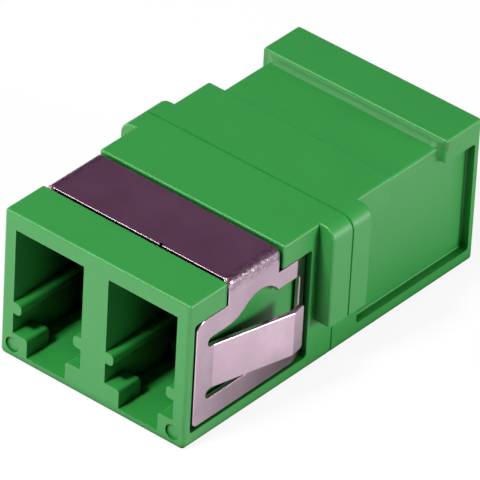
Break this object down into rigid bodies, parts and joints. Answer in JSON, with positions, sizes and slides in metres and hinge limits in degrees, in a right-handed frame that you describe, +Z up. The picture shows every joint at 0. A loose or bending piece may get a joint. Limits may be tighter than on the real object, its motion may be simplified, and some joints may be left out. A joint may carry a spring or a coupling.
{
  "type": "duplex fibre coupler",
  "caption": "Green moulded coupler that joins small-form duplex fibre plugs end to end, with a folded steel panel clip, side wings and open square ports at both ends.",
  "frame": {"origin": "on the underside, below the weld seam of the two housing halves and midway between the ports", "axes": "+Y along the plugs' axes from the clip's half to the plain half, +Z up from the latch side to the clip's top, +X across the ports"},
  "size_m": [0.0148, 0.0232, 0.009],
  "materials": {
    "green_housing": "satin moulded thermoplastic",
    "green_holder": "satin moulded thermoplastic",
    "spring_steel": "bright rolled spring steel sheet",
    "zirconia": "polished ceramic"
  },
  "bodies": {
    "root": {"front_housing": "green_housing", "rear_housing": "green_housing", "panel_clip": "spring_steel", "alignment_sleeve_left": "zirconia", "alignment_sleeve_right": "zirconia", "front_sleeve_holder_left": "green_holder", "front_sleeve_holder_right": "green_holder", "rear_sleeve_holder_left": "green_holder", "rear_sleeve_holder_right": "green_holder"}
  },
  "joints": []
}
